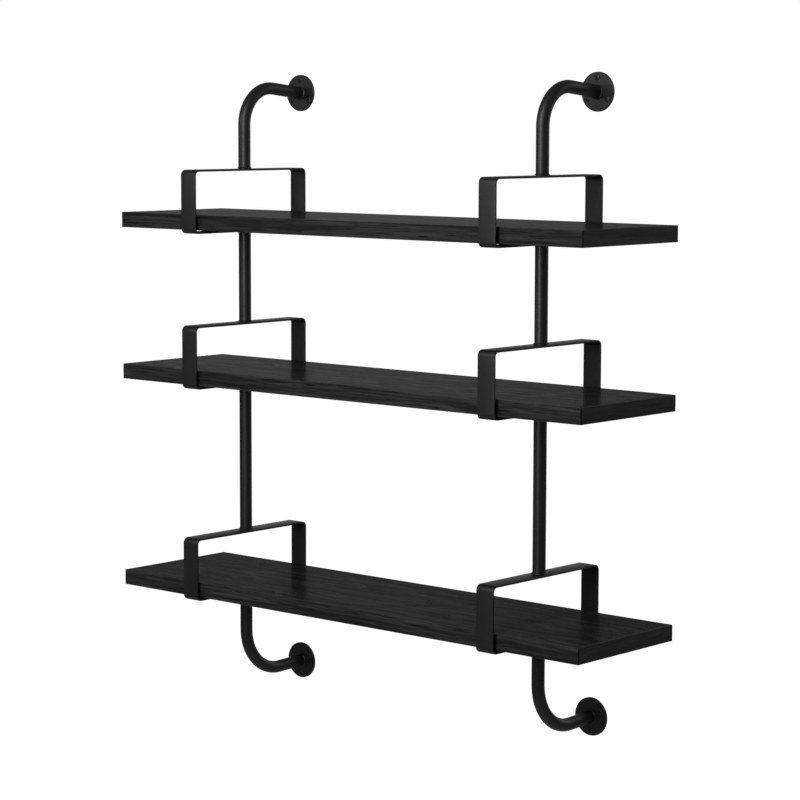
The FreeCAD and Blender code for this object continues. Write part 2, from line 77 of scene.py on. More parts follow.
bpy.ops.object.camera_add()
camera = bpy.context.object
camera.name = "camera"
turned = Matrix.Rotation(CAMERA_TURN, 4, "Z")
tilted = Matrix.Rotation(QUARTER_TURN + CAMERA_TILT, 4, "X")
rolled = Matrix.Rotation(CAMERA_ROLL, 4, "Z")
camera.matrix_world = Matrix.Translation(CAMERA_PLACE) @ turned @ tilted @ rolled
camera.data.sensor_width = SENSOR_MM
camera.data.lens = SENSOR_MM * FOCAL_PIXELS / FRAME_PIXELS
scene.camera = camera
print("The lens is", round(camera.data.lens, 1), "mm")

# %% [markdown]
# ## Colours and nodes
# A maker's colour is written as a hex value, which is in sRGB, while shader sockets want linear light. One
# function turns one into the other. A second one adds any node, with its settings, values and links, so
# that each material below reads as a short list.

# %% Colours and nodes
def linear(hex_colour):
    """The linear RGBA of an sRGB hex colour such as #2b2b2b."""
    channels = [int(hex_colour[place:place + 2], 16) / 255 for place in (1, 3, 5)]
    return tuple(c / 12.92 if c <= 0.04045 else ((c + 0.055) / 1.055) ** 2.4 for c in channels) + (1.0,)


def add(tree, kind, settings=None, **inputs):
    """Adds a node. Each input is a value, or an output to link; the name's underscores stand for spaces."""
    node = tree.nodes.new(kind)
    for name, value in (settings or {}).items():
        setattr(node, name, value)
    for name, value in inputs.items():
        key = int(name[1:]) if name[0] == "_" else name.replace("_", " ")
        socket = node.inputs[key]
        if isinstance(value, bpy.types.NodeSocket):
            tree.links.new(value, socket)
        else:
            socket.default_value = value
    return node


def new_material(name):
    """An empty material's node tree and its Principled shader."""
    material = bpy.data.materials.new(name)
    material.use_nodes = True
    return material, material.node_tree, material.node_tree.nodes["Principled BSDF"]


# %% [markdown]
# ## The studio
# The unit is shown as in a catalogue: on pure white, with nothing round it. A real studio does that with a
# white backdrop behind the object, a large soft lamp in front and a dim room. A white world would do it
# too, but it would also shine on black steel from every side and turn it grey. So the world is white to
# camera rays, and to reflections that leave towards the backdrop, which is just wide enough to fill the
# picture. That gleam is what shows on the boards, with the dark steel mirrored in it. All other rays see
# the dim room.

# %% The world
ROOM_LEVEL = 0.17
BACKDROP_SIDE = (-0.69, 0.72, 0.0)
BACKDROP_EDGE = 0.965

world = bpy.data.worlds.new("studio")
world.use_nodes = True
scene.world = world
tree = world.node_tree
tree.nodes.clear()
ray = add(tree, "ShaderNodeLightPath").outputs
direction = add(tree, "ShaderNodeTexCoord").outputs["Generated"]
towards = add(tree, "ShaderNodeVectorMath", {"operation": "DOT_PRODUCT"}, _0=direction, _1=BACKDROP_SIDE)
backdrop = add(tree, "ShaderNodeMapRange", {"interpolation_type": "SMOOTHSTEP"},
               Value=towards.outputs["Value"], From_Min=BACKDROP_EDGE, From_Max=1.0)
mirrored = add(tree, "ShaderNodeMath", {"operation": "MAXIMUM"}, _0=ray["Is Glossy Ray"],
               _1=ray["Is Transmission Ray"])
in_gloss = add(tree, "ShaderNodeMapRange", Value=backdrop.outputs[0], To_Min=ROOM_LEVEL, To_Max=1.0)
room = add(tree, "ShaderNodeBackground", Color=linear("#ffffff"), Strength=ROOM_LEVEL)
gleam = add(tree, "ShaderNodeBackground", Color=linear("#ffffff"), Strength=in_gloss.outputs[0])
white = add(tree, "ShaderNodeBackground", Color=linear("#ffffff"), Strength=1.0)
lit = add(tree, "ShaderNodeMixShader", _0=mirrored.outputs[0], _1=room.outputs[0], _2=gleam.outputs[0])
mixed = add(tree, "ShaderNodeMixShader", _0=ray["Is Camera Ray"], _1=lit.outputs[0], _2=white.outputs[0])
add(tree, "ShaderNodeOutputWorld", Surface=mixed.outputs[0])
print("The room's level is", ROOM_LEVEL)

# %% [markdown]
# The floor is well below the unit, as under a shelf on a wall. It is a pale plane that takes the unit's
# shadow. To camera rays it also glows a little, which lifts it to the backdrop's white and leaves the
# shadow in it.

# %% The floor
FLOOR_HEIGHT = -1.45
FLOOR_SPAN = 60.0
FLOOR_GLOW = 0.88
FLOOR_ROUGHNESS = 0.9

bpy.ops.mesh.primitive_plane_add(size=FLOOR_SPAN, location=(0, 0, FLOOR_HEIGHT))
floor = bpy.context.object
floor.name = "floor"
floor_paint, tree, shader = new_material("floor_matt_white_paint")
shader.inputs["Base Color"].default_value = linear("#e6e6e6")
shader.inputs["Roughness"].default_value = FLOOR_ROUGHNESS
ray = add(tree, "ShaderNodeLightPath").outputs
glow = add(tree, "ShaderNodeMath", {"operation": "MULTIPLY"}, _0=ray["Is Camera Ray"], _1=FLOOR_GLOW)
shader.inputs["Emission Color"].default_value = linear("#ffffff")
tree.links.new(glow.outputs[0], shader.inputs["Emission Strength"])
floor.data.materials.append(floor_paint)
print("The floor is", -FLOOR_HEIGHT, "m below the unit's middle")

# %% [markdown]
# A tube mirrors a lamp as a bright stripe, and the stripe lies where the surface faces halfway between lamp
# and camera. Here it lies left of the tube's middle, so the lamp stands straight in front of the wall, to
# the left of the camera. The stripe fades towards the bottom, so the lamp is above the unit's middle. It is
# a tall, narrow softbox, which gives a narrow stripe with soft edges. A second, weak one on the left stands
# where the flat flanges and strips mirror it, the upper ones most. A third stands behind the wall's place,
# at the right. It draws a thin light edge along the tubes and keeps the back of the unit from going black.

# %% The lamps
def add_lamp(name, place, width, height, power):
    """An upright softbox at the place, turned to face the unit. Sizes are in metres, the power in watts."""
    bpy.ops.object.light_add(type="AREA", location=place)
    lamp = bpy.context.object
    lamp.name = name
    lamp.data.shape = "RECTANGLE"
    lamp.data.size = width
    lamp.data.size_y = height
    lamp.data.energy = power
    lamp.visible_camera = False
    lamp.rotation_euler = Vector((-place[0], -place[1], 0)).to_track_quat("-Z", "Y").to_euler()
    return lamp


add_lamp("front_softbox", (0.38, -1.7, 0.9), 0.55, 1.9, 26)
add_lamp("left_softbox", (-1.6, -2.3, 1.2), 1.0, 1.4, 10.5)
add_lamp("back_softbox", (0.9, 2.8, 1.0), 2.0, 1.6, 12)
print("Three softboxes: in front, on the left and behind")

# %% [markdown]
# ## Powder coat
# All the steel is powder coated in satin black: a dry polymer powder, sprayed on and baked until it flows.
# It could be a plain dark glossy colour, but baked powder levels badly, so its gloss is broken by a fine
# orange peel. Peel has waves of 1 to 2 mm, too fine to show across the room, so it is drawn at 2.5 mm. The
# powder's own grains are finer still, and show as specks of 0.9 mm in the gloss. Over the rough welds the
# peel is deeper.

# %% Powder coat
PEEL_SIZE = 2.5 * MM
SPECK_SIZE = 0.9 * MM
PATCH_SIZE = 1000 * MM / 9
COAT_TONES = ("#131313", "#171717")
COAT_ROUGHNESS = (0.40, 0.46)
COAT_IOR = 1.47
PEEL_DEPTH = 0.022 * MM
WELD_PEEL_DEPTH = 0.10 * MM


def powder_coat(name, peel_depth):
    """Satin black powder coat: dark, half matt, with orange peel in its gloss and its relief."""
    material, tree, shader = new_material(name)
    place = add(tree, "ShaderNodeTexCoord").outputs["Object"]
    peel = add(tree, "ShaderNodeTexNoise", Vector=place, Scale=1 / PEEL_SIZE, Detail=2.0, Roughness=0.5)
    speck = add(tree, "ShaderNodeTexNoise", Vector=place, Scale=1 / SPECK_SIZE, Detail=1.0)
    patch = add(tree, "ShaderNodeTexNoise", Vector=place, Scale=1 / PATCH_SIZE, Detail=3.0)
    shade = add(tree, "ShaderNodeMapRange", Value=patch.outputs["Fac"], From_Min=0.3, From_Max=0.7)
    colour = add(tree, "ShaderNodeMix", {"data_type": "RGBA"}, _0=shade.outputs[0],
                 _6=linear(COAT_TONES[0]), _7=linear(COAT_TONES[1]))
    gloss = add(tree, "ShaderNodeMapRange", Value=speck.outputs["Fac"], From_Min=0.3, From_Max=0.7,
                To_Min=COAT_ROUGHNESS[0], To_Max=COAT_ROUGHNESS[1])
    bump = add(tree, "ShaderNodeBump", Height=peel.outputs["Fac"], Strength=0.6, Distance=peel_depth)
    shader.inputs["IOR"].default_value = COAT_IOR
    tree.links.new(colour.outputs[2], shader.inputs["Base Color"])
    tree.links.new(gloss.outputs[0], shader.inputs["Roughness"])
    tree.links.new(bump.outputs[0], shader.inputs["Normal"])
    return material


tube_coat = powder_coat("satin_black_powder_coat", PEEL_DEPTH)
weld_coat = powder_coat("powder_coat_on_weld", WELD_PEEL_DEPTH)
print("Powder coats:", tube_coat.name, "and", weld_coat.name)

# %% [markdown]
# ## Black-stained wood
# The boards are veneered in open-grained wood, such as ash, and stained black so that the grain still
# shows. The pattern could be an image, but a solid pattern is worked out here at every point, as in real
# wood. Growth rings are cylinders round a wandering axis, the heart. A board that cuts them lengthwise
# shows arches where it lies over the heart and straighter lines beside them. Over the rings come long
# fibres and short dark pores, both stretched along the grain. Ash pores are about 0.3 mm wide, too fine to
# show, so they are drawn at 1.6 mm.
#
# The wood is cut in three ways: as veneer on the faces, as long strips along the edges and as short strips
# on the ends. Each cut has its dark tone, its pale tone and the tone in its pores. Its length says how many
# times longer than usual the grain runs, its shine how much the bare wood mirrors, and its film how heavy
# and how rough the oil on it is. Its relief is the depth of the grain.

# %% The wood's sizes and cuts
RING_WIDTH = 9 * MM
STREAK_LENGTH, STREAK_WIDTH = 160 * MM, 13 * MM
FIBRE_LENGTH, FIBRE_WIDTH = 70 * MM, 3 * MM
PORE_LENGTH, PORE_WIDTH = 25 * MM, 1.6 * MM
WANDER_LENGTH, WANDER_WIDTH, WANDER_REACH = 450 * MM, 120 * MM, 90 * MM
RINGS_PER_SCALE = 20 / (2 * math.pi)
RING_WEIGHT, FIBRE_WEIGHT, STREAK_WEIGHT = 0.7, 2.8, 2.0
PALE_FROM = 2.0
PORE_FROM, PORE_FULL = 0.56, 0.68
OIL_GLOSS = (0.62, 0.50)
# The pale tone of a painted highlight along the strips' upper and lower arris.
ARRIS_HIGHLIGHT_TONE = "#333333"
SOAKED_TONE = "#010101"
VENEER = {"tones": ("#151515", "#2e2e2e", "#0d0d0d"), "length": 1.0, "shine": 0.01,
          "film": (0.074, 0.15), "relief": 0.10 * MM}
STRIP = {"tones": ("#1c1c1c", "#393939", "#101010"), "length": 1.7, "shine": 0.04,
         "film": (0.10, 0.30), "relief": 0.14 * MM}
END_STRIP = {"tones": ("#090909", "#2e2e2e", "#060606"), "length": 1.0, "shine": 0.36,
             "film": (0.10, 0.30), "relief": 0.08 * MM}
print("The wood's rings are", RING_WIDTH / MM, "mm wide and its pores", PORE_WIDTH / MM, "mm")


# %% Black-stained wood
def stained_wood(name, cut, heart, turn=0.0, figure=1.0, paleness=1.0, highlight_bands=(), dark_bands=()):
    """Black-stained open-grained wood of this cut. The rings' axis runs through the heart, a point
    (x, y, z), along X before the turn about Z. The figure is how strongly the rings show, and the paleness
    multiplies the cut's tones. A band is an axis, a middle and two distances from it: the tone is the
    wood's own up to the first one and the band's from the second one on."""
    material, tree, shader = new_material(name)
    place = add(tree, "ShaderNodeTexCoord").outputs["Object"]
    axes = add(tree, "ShaderNodeSeparateXYZ", Vector=place).outputs
    moved = add(tree, "ShaderNodeVectorMath", {"operation": "SUBTRACT"}, _0=place, _1=heart)
    grain = add(tree, "ShaderNodeMapping", Vector=moved.outputs[0], Rotation=(0, 0, turn)).outputs[0]

    def stretched(along, across, detail, roughness=0.55):
        """Noise whose grains are that long along the wood and that wide across it, in metres."""
        shrunk = add(tree, "ShaderNodeVectorMath", {"operation": "MULTIPLY"}, _0=grain,
                     _1=(1 / (along * cut["length"]), 1 / across, 1 / across))
        noise = add(tree, "ShaderNodeTexNoise", Vector=shrunk.outputs[0], Scale=1.0, Detail=detail,
                    Roughness=roughness)
        return noise.outputs

    def band(axis, middle, start, end):
        """0 within the start's distance of the middle along the axis, and 1 beyond the end's."""
        offset = add(tree, "ShaderNodeMath", {"operation": "SUBTRACT"}, _0=axes[axis], _1=middle)
        distance = add(tree, "ShaderNodeMath", {"operation": "ABSOLUTE"}, _0=offset.outputs[0])
        ramp = add(tree, "ShaderNodeMapRange", Value=distance.outputs[0], From_Min=start, From_Max=end)
        return ramp.outputs[0]

    wander = stretched(WANDER_LENGTH, WANDER_WIDTH, 2.0)["Color"]
    centred = add(tree, "ShaderNodeVectorMath", {"operation": "SUBTRACT"}, _0=wander, _1=(0.5, 0.5, 0.5))
    pushed = add(tree, "ShaderNodeVectorMath", {"operation": "MULTIPLY"}, _0=centred.outputs[0],
                 _1=(0.0, WANDER_REACH, WANDER_REACH))
    bent = add(tree, "ShaderNodeVectorMath", {"operation": "ADD"}, _0=grain, _1=pushed.outputs[0])
    rings = add(tree, "ShaderNodeTexWave",
                {"wave_type": "RINGS", "rings_direction": "X", "wave_profile": "SAW"},
                Vector=bent.outputs[0], Scale=1 / (RING_WIDTH * RINGS_PER_SCALE), Distortion=1.2,
                Detail=2.0, Detail_Scale=1.5)
    fibre = stretched(FIBRE_LENGTH, FIBRE_WIDTH, 4.0, 0.6)["Fac"]
    streak = stretched(STREAK_LENGTH, STREAK_WIDTH, 3.0)["Fac"]
    pores = stretched(PORE_LENGTH, PORE_WIDTH, 2.0)["Fac"]
    pore = add(tree, "ShaderNodeMapRange", {"interpolation_type": "SMOOTHSTEP"}, Value=pores,
               From_Min=PORE_FROM, From_Max=PORE_FULL)
    ringed = add(tree, "ShaderNodeMath", {"operation": "MULTIPLY_ADD"}, _0=rings.outputs["Fac"],
                 _1=RING_WEIGHT * figure, _2=-RING_WEIGHT / 2 * figure)
    fibred = add(tree, "ShaderNodeMath", {"operation": "MULTIPLY_ADD"}, _0=fibre, _1=FIBRE_WEIGHT,
                 _2=ringed.outputs[0])
    streaked = add(tree, "ShaderNodeMath", {"operation": "MULTIPLY_ADD"}, _0=streak, _1=STREAK_WEIGHT,
                   _2=fibred.outputs[0])
    pale = add(tree, "ShaderNodeMath", {"operation": "SUBTRACT", "use_clamp": True},
               _0=streaked.outputs[0], _1=PALE_FROM)
    dark_tone, pale_tone, pore_tone = (
        [channel * paleness for channel in linear(tone)[:3]] + [1.0] for tone in cut["tones"])
    tone = add(tree, "ShaderNodeMix", {"data_type": "RGBA"}, _0=pale.outputs[0], _6=dark_tone, _7=pale_tone)
    colour = add(tree, "ShaderNodeMix", {"data_type": "RGBA"}, _0=pore.outputs[0], _6=tone.outputs[2],
                 _7=pore_tone).outputs[2]
    # The highlight bands paint a highlight along the arris; the dark bands are cut ends and glue lines.
    for bands, band_colour in ((highlight_bands, ARRIS_HIGHLIGHT_TONE), (dark_bands, SOAKED_TONE)):
        for edge in bands:
            colour = add(tree, "ShaderNodeMix", {"data_type": "RGBA"}, _0=band(*edge), _6=colour,
                         _7=linear(band_colour)).outputs[2]
    gloss = add(tree, "ShaderNodeMapRange", Value=pale.outputs[0], To_Min=OIL_GLOSS[0], To_Max=OIL_GLOSS[1])
    height = add(tree, "ShaderNodeMath", {"operation": "SUBTRACT"}, _0=pale.outputs[0], _1=pore.outputs[0])
    bump = add(tree, "ShaderNodeBump", Height=height.outputs[0], Strength=0.6, Distance=cut["relief"])
    tree.links.new(colour, shader.inputs["Base Color"])
    shader.inputs["Specular IOR Level"].default_value = cut["shine"]
    shader.inputs["Coat Weight"].default_value = cut["film"][0]
    shader.inputs["Coat Roughness"].default_value = cut["film"][1]
    tree.links.new(bump.outputs[0], shader.inputs["Coat Normal"])
    tree.links.new(gloss.outputs[0], shader.inputs["Roughness"])
    tree.links.new(bump.outputs[0], shader.inputs["Normal"])
    return material


# %% [markdown]
# Each board gets its own cut of wood: the heart lies at another place, so no two boards show the same
# arches. The edging is 2 mm strip, glued on. The long strips run past the end strips, so their cut ends
# show as a line down each corner. End grain drinks the most stain, which makes that line the darkest place
# on the board. Along the front, a pale band on the upper and lower arris is a painted highlight, for the
# rounded edge catching the lamp. On the ends the grain runs from front to back, so there the pattern is
# turned a quarter, and it shows less. The veneer took a little more stain than the strips and lies smoother
# under its oil, so seen at a low angle it mirrors what stands on it. The strips' tones are scaled board by
# board: the long strips are palest on the bottom board and darkest on the top one, the end strips darkest
# on the middle one. The three lines' places are given below as depths from the board's outside.

# %% The boards' finishes
# The strips' tones are scaled board by board: the long strips palest on the bottom board and darkest on the
# top one, the end strips darkest on the middle one.
STRIP_PALENESS = {"bottom": 1.12, "middle": 1.08, "top": 0.85}
END_PALENESS = {"bottom": 1.15, "middle": 0.78, "top": 0.8}
STRIP_FIGURE = 0.7
END_FIGURE = 0.4
HEARTS = {"bottom": (-0.15, -0.17, -0.46), "middle": (0.20, -0.12, -0.12), "top": (-0.05, -0.15, 0.13)}
HALF_LENGTH = 475 * MM
HALF_DEPTH = 115 * MM
HALF_THICKNESS = 12.5 * MM
CUT_END_START, CUT_END_FULL = 0.6 * MM, 0.3 * MM
ARRIS_HIGHLIGHT_START, ARRIS_HIGHLIGHT_FULL = 1.1 * MM, 0.5 * MM
GLUE_START, GLUE_FULL = 2.9 * MM, 2.5 * MM
X_AXIS, Y_AXIS, Z_AXIS = 0, 1, 2


def finish_node(name, material):
    """Gives a CAD node its material. The node's shape isn't touched."""
    piece = nodes[name]
    piece.data.materials.clear()
    piece.data.materials.append(material)


for board, heart in HEARTS.items():
    low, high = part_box(f"board_core_{board}")
    middle = (low + high) / 2
    cut_ends = (X_AXIS, 0.0, HALF_LENGTH - CUT_END_START, HALF_LENGTH - CUT_END_FULL)
    # A painted highlight along the front strips' upper and lower arris.
    arris_highlight = (Z_AXIS, middle.z, HALF_THICKNESS - ARRIS_HIGHLIGHT_START, HALF_THICKNESS - ARRIS_HIGHLIGHT_FULL)
    glue_lines = (Y_AXIS, middle.y, HALF_DEPTH - GLUE_START, HALF_DEPTH - GLUE_FULL)
    finish_node(f"board_core_{board}", stained_wood(f"black_stained_veneer_{board}", VENEER, heart))
    long_strip = stained_wood(f"black_stained_strip_{board}", STRIP, heart, figure=STRIP_FIGURE,
                              paleness=STRIP_PALENESS[board], highlight_bands=[arris_highlight], dark_bands=[cut_ends])
    end_strip = stained_wood(f"black_stained_end_strip_{board}", END_STRIP, heart, QUARTER_TURN,
                             figure=END_FIGURE, paleness=END_PALENESS[board], dark_bands=[glue_lines])
    for face in ("front", "back"):
        finish_node(f"{face}_edging_{board}", long_strip)
    for side in ("left", "right"):
        finish_node(f"{side}_end_edging_{board}", end_strip)
print("Boards finished:", ", ".join(HEARTS))

# %% [markdown]
# ## Tubes and flanges
# The posts and arms are bent from round tube, and the flanges are turned discs. Their CAD shapes are exact,
# so they only take the powder coat.

# %% Tubes and flanges
ENDS = ("upper", "lower")
SIDES = ("left", "right")
BOARDS = ("bottom", "middle", "top")
for end in ENDS:
    for side in SIDES:
        finish_node(f"{end}_arm_tube_{side}", tube_coat)
        finish_node(f"{end}_post_tube_{side}", tube_coat)
        finish_node(f"{end}_wall_flange_{side}", tube_coat)
print("Tubes and flanges are coated")

# %% [markdown]
# ## Small parts under the boards
# The spacers are punched from black nylon sheet, which is matt and a little cloudy. The screws that go
# through them into the board are of steel with a black zinc plating. They could take the powder coat, but
# plating is a metal finish: it mirrors more than it scatters, and it is a little uneven. There are three
# clouds to the centimetre in the nylon, and seven blotches in the plating. The screws are modelled further
# down.

# %% Nylon and plated steel
CLOUD_SIZE = 10 * MM / 3
BLOTCH_SIZE = 10 * MM / 7


def black_nylon():
    """Matt black nylon: a dark grey with faint clouds and a soft, even gloss."""
    material, tree, shader = new_material("black_nylon")
    place = add(tree, "ShaderNodeTexCoord").outputs["Object"]
    cloud = add(tree, "ShaderNodeTexNoise", Vector=place, Scale=1 / CLOUD_SIZE, Detail=2.0)
    colour = add(tree, "ShaderNodeMix", {"data_type": "RGBA"}, _0=cloud.outputs["Fac"],
                 _6=linear("#191919"), _7=linear("#262626"))
    gloss = add(tree, "ShaderNodeMapRange", Value=cloud.outputs["Fac"], To_Min=0.55, To_Max=0.65)
    tree.links.new(colour.outputs[2], shader.inputs["Base Color"])
    tree.links.new(gloss.outputs[0], shader.inputs["Roughness"])
    return material


def zinc_steel():
    """Black zinc-plated steel: a dark bluish metal whose plating is slightly uneven."""
    material, tree, shader = new_material("black_zinc_plated_steel")
    place = add(tree, "ShaderNodeTexCoord").outputs["Object"]
    blotch = add(tree, "ShaderNodeTexNoise", Vector=place, Scale=1 / BLOTCH_SIZE, Detail=3.0)
    colour = add(tree, "ShaderNodeMix", {"data_type": "RGBA"}, _0=blotch.outputs["Fac"],
                 _6=linear("#3b3c40"), _7=linear("#4c4d51"))
    gloss = add(tree, "ShaderNodeMapRange", Value=blotch.outputs["Fac"], To_Min=0.35, To_Max=0.48)
    bump = add(tree, "ShaderNodeBump", Height=blotch.outputs["Fac"], Strength=0.3, Distance=0.02 * MM)
    shader.inputs["Metallic"].default_value = 1.0
    tree.links.new(colour.outputs[2], shader.inputs["Base Color"])
    tree.links.new(gloss.outputs[0], shader.inputs["Roughness"])
    tree.links.new(bump.outputs[0], shader.inputs["Normal"])
    return material


nylon = black_nylon()
zinc = zinc_steel()
for board in BOARDS:
    finish_node(f"board_spacers_{board}", nylon)
print("Spacers are finished. The screws' metal is", zinc.name)

# %% [markdown]
# ## Modelling helpers
# Operators act on whatever is selected, so a few helpers select exactly what each step means, by its place.

# %% Modelling helpers
import bmesh


def deselect_objects():
    bpy.ops.object.select_all(action="DESELECT")


def make_active(piece):
    """Selects this object alone."""
    deselect_objects()
    piece.select_set(True)
    bpy.context.view_layer.objects.active = piece


def select_in_edit(kind, test):
    """In edit mode, selects the vertices, edges or faces that pass the test, and nothing else."""
    bpy.ops.mesh.select_mode(type=kind)
    bpy.ops.mesh.select_all(action="DESELECT")
    mesh = bmesh.from_edit_mesh(bpy.context.object.data)
    items = {"VERT": mesh.verts, "EDGE": mesh.edges, "FACE": mesh.faces}[kind]
    for item in items:
        item.select_set(bool(test(item)))
    mesh.select_flush_mode()
    bmesh.update_edit_mesh(bpy.context.object.data)


def apply_modifier(piece, kind, **settings):
    """Adds a modifier with its settings and applies it at once."""
    make_active(piece)
    modifier = piece.modifiers.new(kind.lower(), kind)
    for name, value in settings.items():
        setattr(modifier, name, value)
    bpy.ops.object.modifier_apply(modifier=modifier.name)


def settle(piece):
    """Moves an object's place into its mesh, so that the object itself sits at the origin."""
    make_active(piece)
    bpy.ops.object.transform_apply(location=True, rotation=True, scale=True)


def copy_to(piece, name, shift):
    """A copy with its own mesh, moved by the shift."""
    make_active(piece)
    bpy.ops.object.duplicate(linked=False)
    twin = bpy.context.object
    twin.name = name
    twin.location = shift
    settle(twin)
    return twin


def stand_for(piece, node, material):
    """The piece takes a CAD node's place: its ride and its finish."""
    piece.data.materials.clear()
    piece.data.materials.append(material)
    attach(piece, "root")
    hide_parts(node)


# %% [markdown]
# ## The strip loops
# Each loop is flat bar, 32 by 3 mm, bent round four corners and welded shut. Rolled bar has no sharp edges.
# A swept profile would also give it, but the real order of work is as easy: start from a block of the
# loop's outer size, take off its two open sides, round its four corners as the bender does, and thicken the
# skin inwards. The two screw holes are drilled, and last the long edges are broken, which is what catches
# the light.

# %% One strip loop
LOOP_BEND = 9 * MM
BAR_THICKNESS = 3 * MM
BAR_EDGE = 0.5 * MM
HOLE_RADIUS = 2.5 * MM
HOLE_PITCH = 160 * MM
LOOP_EDGE_ANGLE = math.radians(40)
LOOP_SMOOTH_ANGLE = math.radians(35)

loop_low, loop_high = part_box("shelf_loop_bottom_left")
middle = (loop_low + loop_high) / 2
deselect_objects()
bpy.ops.mesh.primitive_cube_add(size=1, location=middle, scale=loop_high - loop_low)
loop = bpy.context.object
settle(loop)

bpy.ops.object.mode_set(mode="EDIT")
select_in_edit("FACE", lambda face: abs(face.normal.x) > 0.5)
bpy.ops.mesh.delete(type="ONLY_FACE")
select_in_edit("EDGE", lambda edge: abs(edge.verts[0].co.x - edge.verts[1].co.x) > BAR_THICKNESS)
bpy.ops.mesh.bevel(offset=LOOP_BEND, segments=10, affect="EDGES")
bpy.ops.object.mode_set(mode="OBJECT")
apply_modifier(loop, "SOLIDIFY", thickness=BAR_THICKNESS, offset=-1, use_even_offset=True)
print("The bent bar has", len(loop.data.polygons), "faces")

# %% The loop's holes and edges
for way in (-1, 1):
    deselect_objects()
    bpy.ops.mesh.primitive_cylinder_add(vertices=32, radius=HOLE_RADIUS, depth=4 * BAR_THICKNESS,
                                        location=(middle.x, middle.y + way * HOLE_PITCH / 2, loop_low.z))
    drill = bpy.context.object
    apply_modifier(loop, "BOOLEAN", object=drill, operation="DIFFERENCE", solver="EXACT")
    bpy.data.objects.remove(drill)
apply_modifier(loop, "BEVEL", width=BAR_EDGE, segments=3, limit_method="ANGLE",
               angle_limit=LOOP_EDGE_ANGLE, harden_normals=False)
make_active(loop)
bpy.ops.object.shade_smooth_by_angle(angle=LOOP_SMOOTH_ANGLE)
loop.name = "strip_loop_bottom_left"
print("The finished loop has", len(loop.data.polygons), "faces")

# %% [markdown]
# The other five loops are copies, each moved by how far its CAD node lies from the first one.

# %% All the loops
for board in BOARDS:
    for side in SIDES:
        node = f"shelf_loop_{board}_{side}"
        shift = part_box(node)[0] - loop_low
        piece = loop if shift.length < MM else copy_to(loop, f"strip_loop_{board}_{side}", shift)
        stand_for(piece, node, tube_coat)
print("Six loops")

# %% [markdown]
# ## The weld beads
# Where a tube stands on a loop, a bead of weld fills the corner. The welder's torch moves on in small
# steps, and each leaves a ripple. A torus would give a smooth round bead. Instead a ring is drawn up and
# out in steps round the tube, as a ring that is extruded and scaled, its ends are bridged, and every fourth
# row is swollen a little.

# %% One weld bead
TUBE_RADIUS = 10 * MM
WELD_LEG = 1.7 * MM
RIPPLES = 36
ROWS_PER_RIPPLE = 4
RIPPLE_HEIGHT = 0.15 * MM
RIPPLE_MARGIN = 0.1 * WELD_LEG
BEAD_STEPS = ((0.0, 1.0), (0.34, 0.86), (0.64, 0.62), (0.87, 0.32), (1.0, 0.0))
BEAD_SMOOTH_ANGLE = math.radians(60)


def ripple_row(vertex, centre):
    """The number of the row round the ring that a vertex lies in."""
    angle = math.atan2(vertex.co.y - centre.y, vertex.co.x - centre.x)
    return round(angle / (2 * math.pi) * RIPPLES * ROWS_PER_RIPPLE)


def weld_bead(name, foot):
    """A rippled ring of weld round an upright tube at the origin. Its flare ends on the origin's level, and
    the bead goes on below that for the length of the foot."""
    centre = Vector((0.0, 0.0, 0.0))
    deselect_objects()
    bpy.ops.mesh.primitive_circle_add(vertices=RIPPLES * ROWS_PER_RIPPLE, radius=TUBE_RADIUS,
                                      location=centre)
    bead = bpy.context.object
    bead.name = name
    bpy.ops.object.mode_set(mode="EDIT")
    bpy.ops.mesh.select_mode(type="EDGE")
    bpy.ops.mesh.select_all(action="SELECT")
    radius, level = TUBE_RADIUS, -foot
    bpy.ops.transform.translate(value=(0, 0, level))
    for outwards, upwards in BEAD_STEPS:
        new_radius, new_level = TUBE_RADIUS + outwards * WELD_LEG, upwards * WELD_LEG
        grow = new_radius / radius
        bpy.ops.mesh.extrude_edges_move()
        bpy.ops.transform.translate(value=(0, 0, new_level - level))
        bpy.ops.transform.resize(value=(grow, grow, 1), center_override=centre)
        radius, level = new_radius, new_level
    if foot > 0:
        bpy.ops.mesh.extrude_edges_move()
        bpy.ops.transform.translate(value=(0, 0, -foot))
    bpy.ops.mesh.select_all(action="DESELECT")
    bpy.ops.mesh.select_non_manifold()
    bpy.ops.mesh.bridge_edge_loops()
    select_in_edit("VERT", lambda vertex: ripple_row(vertex, centre) % ROWS_PER_RIPPLE == 0
                   and vertex.co.to_2d().length > TUBE_RADIUS + RIPPLE_MARGIN
                   and vertex.co.z > RIPPLE_MARGIN)
    bpy.ops.transform.shrink_fatten(value=RIPPLE_HEIGHT)
    bpy.ops.mesh.select_all(action="SELECT")
    bpy.ops.mesh.normals_make_consistent(inside=False)
    bpy.ops.object.mode_set(mode="OBJECT")
    bpy.ops.object.shade_smooth_by_angle(angle=BEAD_SMOOTH_ANGLE)
    return bead


upper_bead = weld_bead("upper_bead", 0.0)
lower_bead = weld_bead("lower_bead", 0.0)
lower_bead.rotation_euler = (HALF_TURN, 0, 0)
settle(lower_bead)
print("A bead has", len(upper_bead.data.polygons), "faces")

# %% [markdown]
# Each loop has one bead over its top flat and one under its bottom flat. They are one CAD node, so the pair
# is joined into one piece.

# %% The beads on the loops
for board in BOARDS:
    for side in SIDES:
        node = f"loop_welds_{board}_{side}"
        low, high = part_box(node)
        centre = (low + high) / 2
        top = copy_to(upper_bead, f"weld_beads_{board}_{side}", (centre.x, centre.y, high.z - WELD_LEG))
        under = copy_to(lower_bead, "under", (centre.x, centre.y, low.z + WELD_LEG))
        make_active(top)
        under.select_set(True)
        bpy.ops.object.join()
        stand_for(top, node, weld_coat)
bpy.data.objects.remove(upper_bead)
bpy.data.objects.remove(lower_bead)
print("Twelve beads in six pieces")

